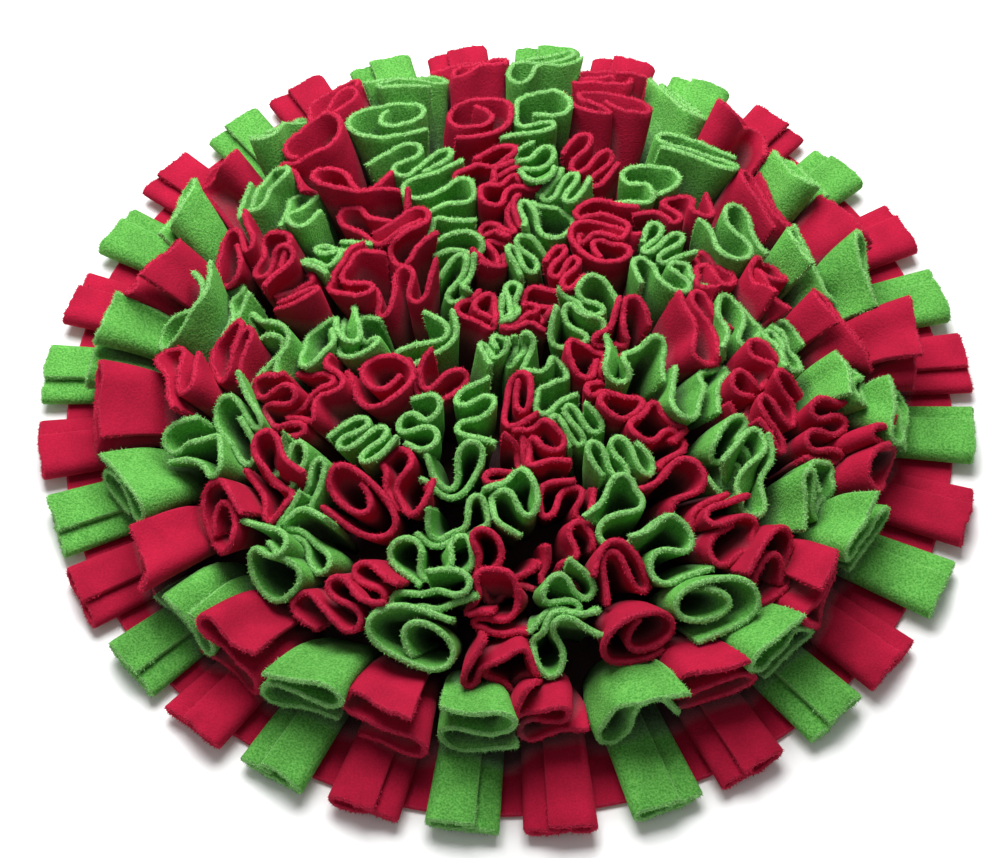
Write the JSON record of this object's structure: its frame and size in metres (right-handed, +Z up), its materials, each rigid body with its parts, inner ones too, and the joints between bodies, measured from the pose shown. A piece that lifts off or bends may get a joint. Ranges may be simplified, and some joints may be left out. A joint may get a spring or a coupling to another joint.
{
  "type": "round snuffle mat",
  "caption": "Round fleece snuffle mat for a pet: rings of folded crimson and green fleece petals sewn upright on a round fleece base, flat petals at the rim.",
  "frame": {"origin": "centre of the base cloth's underside, on the floor the mat lies on", "axes": "+Z up out of the mat, -Y towards the viewer of the picture, +X to the viewer's right"},
  "size_m": [0.4434, 0.4441, 0.0574],
  "materials": {
    "red_fleece": "matt brushed fleece, crimson",
    "green_fleece": "matt brushed fleece, leaf green"
  },
  "bodies": {
    "root": {"base_cloth": "red_fleece", "centre_petal_1_red": "red_fleece", "centre_petal_2_green": "green_fleece", "centre_petal_3_green": "green_fleece", "edge_petal_01_green": "green_fleece", "edge_petal_02_red": "red_fleece", "edge_petal_03_green": "green_fleece", "edge_petal_04_red": "red_fleece", "edge_petal_05_green": "green_fleece", "edge_petal_06_red": "red_fleece", "edge_petal_07_green": "green_fleece", "edge_petal_08_red": "red_fleece", "edge_petal_09_green": "green_fleece", "edge_petal_10_red": "red_fleece", "edge_petal_11_green": "green_fleece", "edge_petal_12_red": "red_fleece", "edge_petal_13_green": "green_fleece", "edge_petal_14_red": "red_fleece", "edge_petal_15_green": "green_fleece", "edge_petal_16_red": "red_fleece", "edge_petal_17_green": "green_fleece", "edge_petal_18_red": "red_fleece", "edge_petal_19_green": "green_fleece", "edge_petal_20_red": "red_fleece", "edge_petal_21_green": "green_fleece", "edge_petal_22_red": "red_fleece", "edge_petal_23_green": "green_fleece", "edge_petal_24_red": "red_fleece", "edge_petal_25_green": "green_fleece", "edge_petal_26_red": "red_fleece", "edge_petal_27_green": "green_fleece", "edge_petal_28_red": "red_fleece", "edge_petal_29_green": "green_fleece", "edge_petal_30_red": "red_fleece", "edge_petal_31_green": "green_fleece", "edge_petal_32_red": "red_fleece", "row_1_green": "green_fleece", "row_1_red": "red_fleece", "row_2_green": "green_fleece", "row_2_red": "red_fleece", "row_3_green": "green_fleece", "row_3_red": "red_fleece", "row_4_green": "green_fleece", "row_4_red": "red_fleece", "row_5_green": "green_fleece", "row_5_red": "red_fleece", "row_6_green": "green_fleece", "row_6_red": "red_fleece", "row_7_green": "green_fleece", "row_7_red": "red_fleece"}
  },
  "joints": []
}
